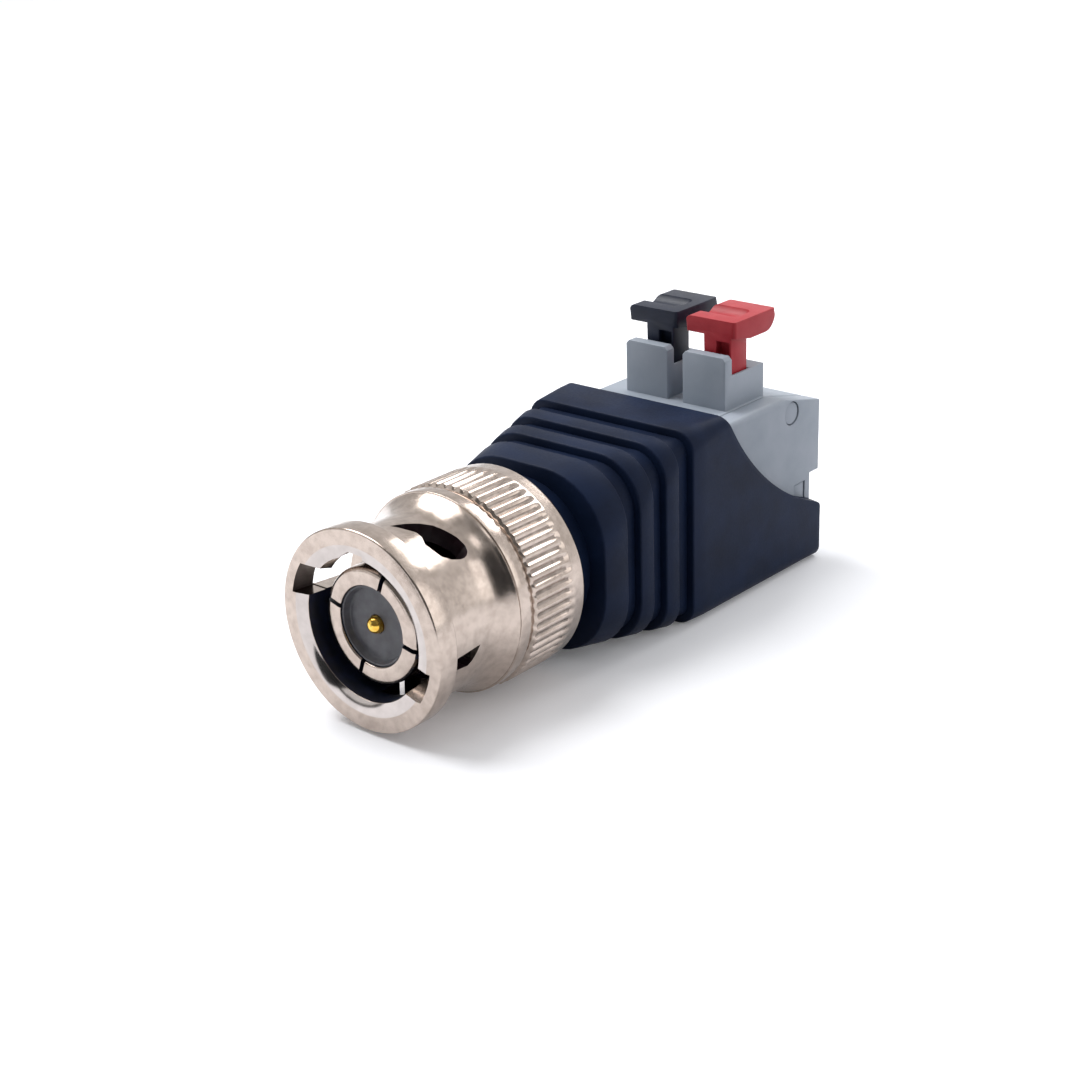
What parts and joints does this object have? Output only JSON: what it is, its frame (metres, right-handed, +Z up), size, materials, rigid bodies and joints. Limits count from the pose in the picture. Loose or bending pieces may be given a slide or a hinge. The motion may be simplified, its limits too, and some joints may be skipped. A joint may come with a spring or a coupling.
{
  "type": "coaxial plug to terminal block adapter",
  "caption": "Bayonet coaxial plug in a ribbed moulded boot, with a push-button spring terminal block for two bare wires at the rear.",
  "frame": {"origin": "on the coupling axis, where the contact sleeve meets the gasket's seat", "axes": "+Y along the coupling axis from the mating end to the wires, +Z up through the push buttons, +X towards the red pole"},
  "size_m": [0.015, 0.0436, 0.02],
  "materials": {
    "nickel_plate": "bright nickel plate over brass",
    "gold_plate": "gold plate",
    "contact_brass": "plain brass",
    "spring_steel": "rolled spring steel",
    "insulator_plastic": "translucent moulded",
    "gasket_rubber": "matt",
    "boot_plastic": "fine moulded texture",
    "housing_plastic": "fine moulded texture",
    "red_plastic": "satin moulded",
    "black_plastic": "satin moulded"
  },
  "bodies": {
    "adapter": {"plug_body": "nickel_plate", "front_insulator": "insulator_plastic", "rear_insulator": "insulator_plastic", "centre_pin": "gold_plate", "gasket": "gasket_rubber", "wave_washer": "spring_steel", "ground_lug": "contact_brass", "boot": "boot_plastic", "terminal_housing": "housing_plastic", "end_cover": "housing_plastic", "clamp_spring_red": "spring_steel", "clamp_spring_black": "spring_steel", "contact_strip_red": "contact_brass", "contact_strip_black": "contact_brass", "signal_lead": "red_plastic", "ground_lead": "black_plastic"},
    "washer": {"thrust_washer": "spring_steel"},
    "nut": {"coupling_nut": "nickel_plate", "retaining_ring": "spring_steel"},
    "red": {"button_red": "red_plastic"},
    "black": {"button_black": "black_plastic"}
  },
  "joints": [
    {"name": "nut_draw", "type": "slide", "parent": "adapter", "child": "washer", "axis": [0, -1, 0], "range_m": [0, 0.0005], "stiffness_N_per_m": 20000, "deforming": ["wave_washer"]},
    {"name": "nut_turn", "type": "hinge", "parent": "washer", "child": "nut", "pos_m": [0, 0, 0], "axis": [0, -1, 0], "continuous": true},
    {"name": "red_press", "type": "slide", "parent": "adapter", "child": "red", "axis": [0, 0, -1], "range_m": [0, 0.0022], "stiffness_N_per_m": 3000, "springref_m": -0.0005, "deforming": ["clamp_spring_red"]},
    {"name": "black_press", "type": "slide", "parent": "adapter", "child": "black", "axis": [0, 0, -1], "range_m": [0, 0.0022], "stiffness_N_per_m": 3000, "springref_m": -0.0005, "deforming": ["clamp_spring_black"]}
  ]
}
